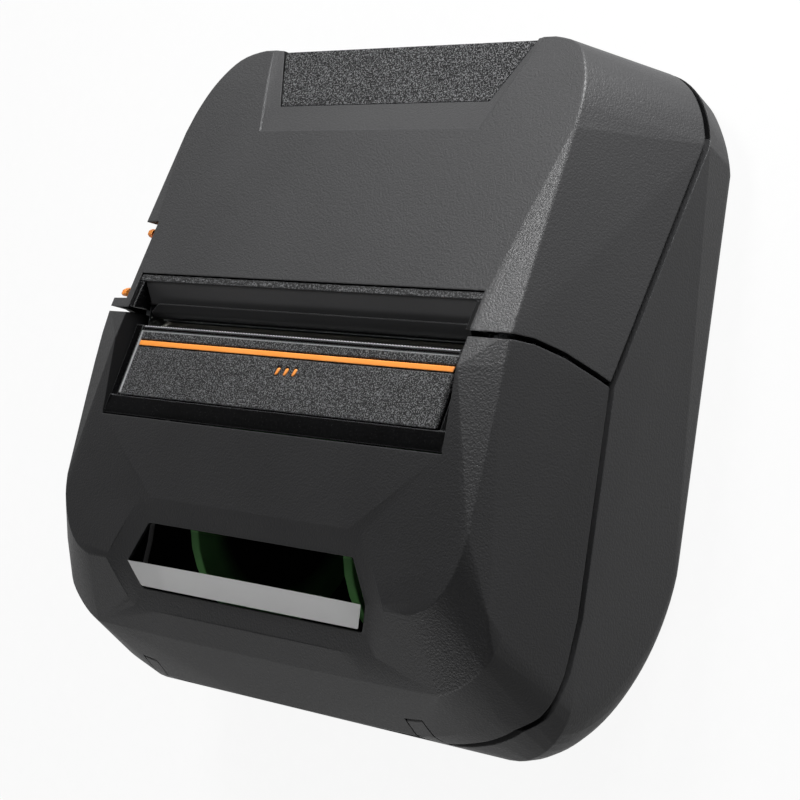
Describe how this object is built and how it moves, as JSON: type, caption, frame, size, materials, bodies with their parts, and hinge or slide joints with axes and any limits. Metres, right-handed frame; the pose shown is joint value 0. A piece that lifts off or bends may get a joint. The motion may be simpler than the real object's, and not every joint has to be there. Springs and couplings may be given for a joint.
{
  "type": "mobile label printer",
  "caption": "Hand-sized direct thermal label printer with a clamshell roll cover, paper window, peel plate and side release lever.",
  "frame": {"origin": "middle of the flat back that the closed printer lies on, at the middle of its length and width", "axes": "+X across the paper, to the right as seen in the picture; +Y along the length towards the control panel end; +Z out of the front"},
  "size_m": [0.155, 0.1606, 0.0675],
  "materials": {
    "casing_plastic": "fine grained charcoal moulding",
    "cover_plastic": "fine grained charcoal moulding, a little smoother",
    "grained_plastic": "coarse sparkling grain",
    "gloss_black": "glossy black",
    "orange_accent": "satin orange",
    "window": "clear smoke-tinted, polished",
    "green_plastic": "satin green moulding",
    "rubber": "matt black",
    "steel": "plain sheet and turned steel",
    "aluminium": "plain extruded",
    "brass": "turned or plated",
    "ceramic": "glazed ceramic",
    "circuit_board": "green solder mask",
    "nylon": "natural nylon",
    "lens": "frosted clear"
  },
  "bodies": {
    "casing": {"rear_casing": "casing_plastic", "upper_cover": "cover_plastic", "grip_strip": "grained_plastic", "tear_bar": "steel", "hinge_shaft": "steel", "case_screw_1": "steel", "case_screw_2": "steel", "case_screw_3": "steel", "case_screw_4": "steel", "chassis": "steel", "stepper_motor": "steel", "print_head": "ceramic", "heat_sink": "aluminium", "head_spring_left": "steel", "head_spring_right": "steel", "lid_switch": "gloss_black", "lock_spring": "steel", "guide_tray": "gloss_black", "media_sensor": "gloss_black", "battery_contacts": "brass", "main_board": "circuit_board", "wireless_board": "circuit_board", "antenna_loop": "brass", "socket_board": "circuit_board", "data_socket": "steel", "power_socket": "gloss_black", "control_panel": "gloss_black", "status_lens_left": "lens", "status_lens_right": "lens"},
    "roll_lid": {"roll_cover": "cover_plastic", "cover_window": "window", "plate_frame": "gloss_black", "peel_plate": "grained_plastic", "accent_stripe": "orange_accent", "accent_mark_1": "orange_accent", "accent_mark_2": "orange_accent", "accent_mark_3": "orange_accent", "platen_bush_left": "brass", "platen_bush_right": "brass"},
    "platen": {"platen_shaft": "steel", "platen_roller": "rubber", "platen_gear": "nylon"},
    "idler": {"idler_gear": "nylon"},
    "pinion": {"motor_pinion": "brass"},
    "lever": {"release_lever": "orange_accent"},
    "lock": {"lock_shaft": "nylon"},
    "guide_right": {"right_guide": "green_plastic"},
    "guide_left": {"left_guide": "green_plastic"},
    "guide_wheel": {"guide_pinion": "nylon"},
    "button_power": {"power_button": "grained_plastic"},
    "button_feed": {"feed_button": "grained_plastic"},
    "button_wireless": {"wireless_button": "grained_plastic"},
    "flap": {"port_flap": "rubber"},
    "battery": {"battery_pack": "gloss_black"},
    "latch": {"battery_latch": "grained_plastic"}
  },
  "joints": [
    {"name": "cover_hinge", "type": "hinge", "parent": "casing", "child": "roll_lid", "pos_m": [0, -0.07362, 0.046], "axis": [1, 0, 0], "range_deg": [0, 85]},
    {"name": "platen_spin", "type": "hinge", "parent": "roll_lid", "child": "platen", "pos_m": [0, 0.00187, 0.04998], "axis": [1, 0, 0], "continuous": true},
    {"name": "idler_spin", "type": "hinge", "parent": "casing", "child": "idler", "pos_m": [-0.0644, 0.01788, 0.03938], "axis": [1, 0, 0], "continuous": true},
    {"name": "pinion_spin", "type": "hinge", "parent": "casing", "child": "pinion", "pos_m": [-0.0644, 0.03443, 0.03649], "axis": [1, 0, 0], "continuous": true},
    {"name": "lever_slide", "type": "slide", "parent": "casing", "child": "lever", "axis": [1, 0, 0], "range_m": [0, 0.003], "stiffness_N_per_m": 400},
    {"name": "lock_turn", "type": "hinge", "parent": "casing", "child": "lock", "pos_m": [0, 0.01537, 0.03348], "axis": [1, 0, 0], "range_deg": [-8.5, 0.2]},
    {"name": "guide_right_slide", "type": "slide", "parent": "casing", "child": "guide_right", "axis": [1, 0, 0], "range_m": [-0.004, 0.031]},
    {"name": "guide_left_slide", "type": "slide", "parent": "casing", "child": "guide_left", "axis": [1, 0, 0], "range_m": [-0.0312, 0.0042]},
    {"name": "guide_wheel_turn", "type": "hinge", "parent": "casing", "child": "guide_wheel", "pos_m": [0, -0.02413, 0.00345], "axis": [0, 0, 1], "range_deg": [-345, 48]},
    {"name": "power_press", "type": "slide", "parent": "casing", "child": "button_power", "axis": [0, -1, 0], "range_m": [0, 0.0005], "stiffness_N_per_m": 800},
    {"name": "feed_press", "type": "slide", "parent": "casing", "child": "button_feed", "axis": [0, -1, 0], "range_m": [0, 0.0005], "stiffness_N_per_m": 800},
    {"name": "wireless_press", "type": "slide", "parent": "casing", "child": "button_wireless", "axis": [0, -1, 0], "range_m": [0, 0.0005], "stiffness_N_per_m": 800},
    {"name": "flap_hinge", "type": "hinge", "parent": "casing", "child": "flap", "pos_m": [-0.0763, -0.01813, 0.0126], "axis": [0, -1, 0], "range_deg": [0, 90]},
    {"name": "battery_slide", "type": "slide", "parent": "casing", "child": "battery", "axis": [0, 0, -1], "range_m": [0, 0.025]},
    {"name": "latch_slide", "type": "slide", "parent": "casing", "child": "latch", "axis": [0, 1, 0], "range_m": [0, 0.0015], "stiffness_N_per_m": 500}
  ],
  "couplings": [
    {"joint": "idler_spin", "follows": "platen_spin", "ratio": -0.71429},
    {"joint": "pinion_spin", "follows": "platen_spin", "ratio": 1.4286},
    {"joint": "lock_turn", "follows": "lever_slide", "rad_per_m": -46.54},
    {"joint": "guide_left_slide", "follows": "guide_right_slide", "ratio": -1},
    {"joint": "guide_wheel_turn", "follows": "guide_right_slide", "rad_per_m": -192.31}
  ]
}
